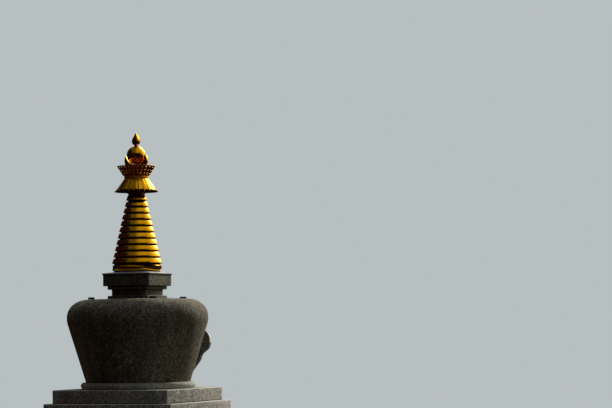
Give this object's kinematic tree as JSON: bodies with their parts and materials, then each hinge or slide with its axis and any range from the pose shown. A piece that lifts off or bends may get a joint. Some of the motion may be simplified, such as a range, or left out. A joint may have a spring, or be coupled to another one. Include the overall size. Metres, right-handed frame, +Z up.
{
  "type": "stupa",
  "caption": "Granite stupa on a stepped plinth: square throne and steps, round vase with a front niche, and a gilded ringed spire with umbrella, moon, sun and jewel.",
  "frame": {"origin": "centre of the underside of the lowest plinth step, at ground level", "axes": "+Z up along the spire, -Y towards the niche side (front), +X to the right of a viewer who faces the niche"},
  "size_m": [2.4, 2.4, 4.1811],
  "materials": {
    "granite_steps": "fine bush-hammered warm grey granite",
    "granite_vase": "bush-hammered brown-grey granite",
    "granite_harmika": "smooth dark grey granite",
    "masonry_core": "rough masonry, unseen",
    "gilded_copper": "polished gilded copper",
    "dark_metal": "blackened bronze",
    "mast_steel": "galvanised steel tube"
  },
  "bodies": {
    "root": {"plinth_step_1": "granite_steps", "plinth_step_2": "granite_steps", "throne_base": "granite_steps", "throne_wall_front": "granite_steps", "throne_wall_right": "granite_steps", "throne_wall_back": "granite_steps", "throne_wall_left": "granite_steps", "throne_core": "masonry_core", "cornice_lower": "granite_steps", "cornice_upper": "granite_steps", "step_1": "granite_steps", "step_2": "granite_steps", "step_3": "granite_steps", "step_4": "granite_steps", "vase_ring": "granite_steps", "vase": "granite_vase", "niche_surround": "granite_steps", "finial_jewel": "gilded_copper", "harmika_collar": "granite_harmika", "harmika_foot": "granite_harmika", "harmika_neck": "granite_harmika", "harmika_slab": "granite_harmika", "lotus_crown": "gilded_copper", "moon_crescent": "gilded_copper", "shoulder_lug_1": "dark_metal", "shoulder_lug_2": "dark_metal", "shoulder_lug_3": "dark_metal", "shoulder_lug_4": "dark_metal", "spire_cushion": "gilded_copper", "spire_mast": "mast_steel", "spire_ring_01": "gilded_copper", "spire_ring_02": "gilded_copper", "spire_ring_03": "gilded_copper", "spire_ring_04": "gilded_copper", "spire_ring_05": "gilded_copper", "spire_ring_06": "gilded_copper", "spire_ring_07": "gilded_copper", "spire_ring_08": "gilded_copper", "spire_ring_09": "gilded_copper", "spire_ring_10": "gilded_copper", "spire_ring_11": "gilded_copper", "spire_ring_12": "gilded_copper", "spire_ring_13": "gilded_copper", "sun_sphere": "gilded_copper", "umbrella_collar": "gilded_copper", "umbrella_skirt": "gilded_copper"}
  },
  "joints": []
}
